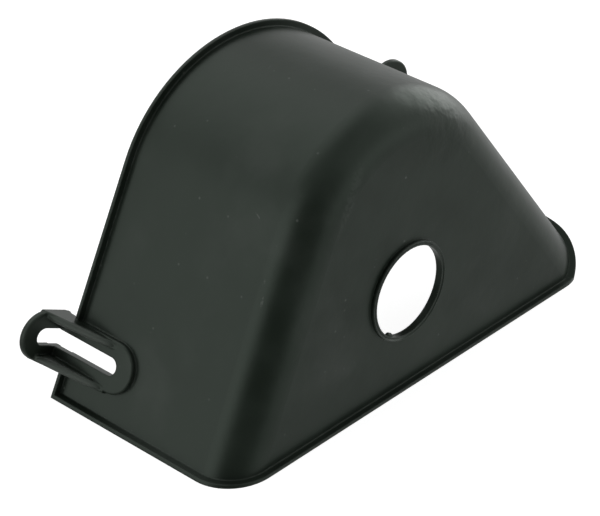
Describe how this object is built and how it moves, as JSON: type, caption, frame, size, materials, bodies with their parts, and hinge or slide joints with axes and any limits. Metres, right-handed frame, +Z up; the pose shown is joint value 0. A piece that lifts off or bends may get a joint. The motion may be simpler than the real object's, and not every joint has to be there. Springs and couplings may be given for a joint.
{
  "type": "belt guard",
  "caption": "One-piece moulded plastic hood that covers a drive belt: arched wall, flat front with a collared round opening, lips along the open sides, a slotted ear and a screw lug.",
  "frame": {"origin": "middle of the footprint of the bounding box, on the plane of the bottom rim", "axes": "+X along the flat front face towards the low end, +Y from the front face to the open back, +Z up"},
  "size_m": [0.1912, 0.0934, 0.1105],
  "materials": {
    "guard_plastic": "satin"
  },
  "bodies": {
    "root": {"belt_guard": "guard_plastic"}
  },
  "joints": []
}
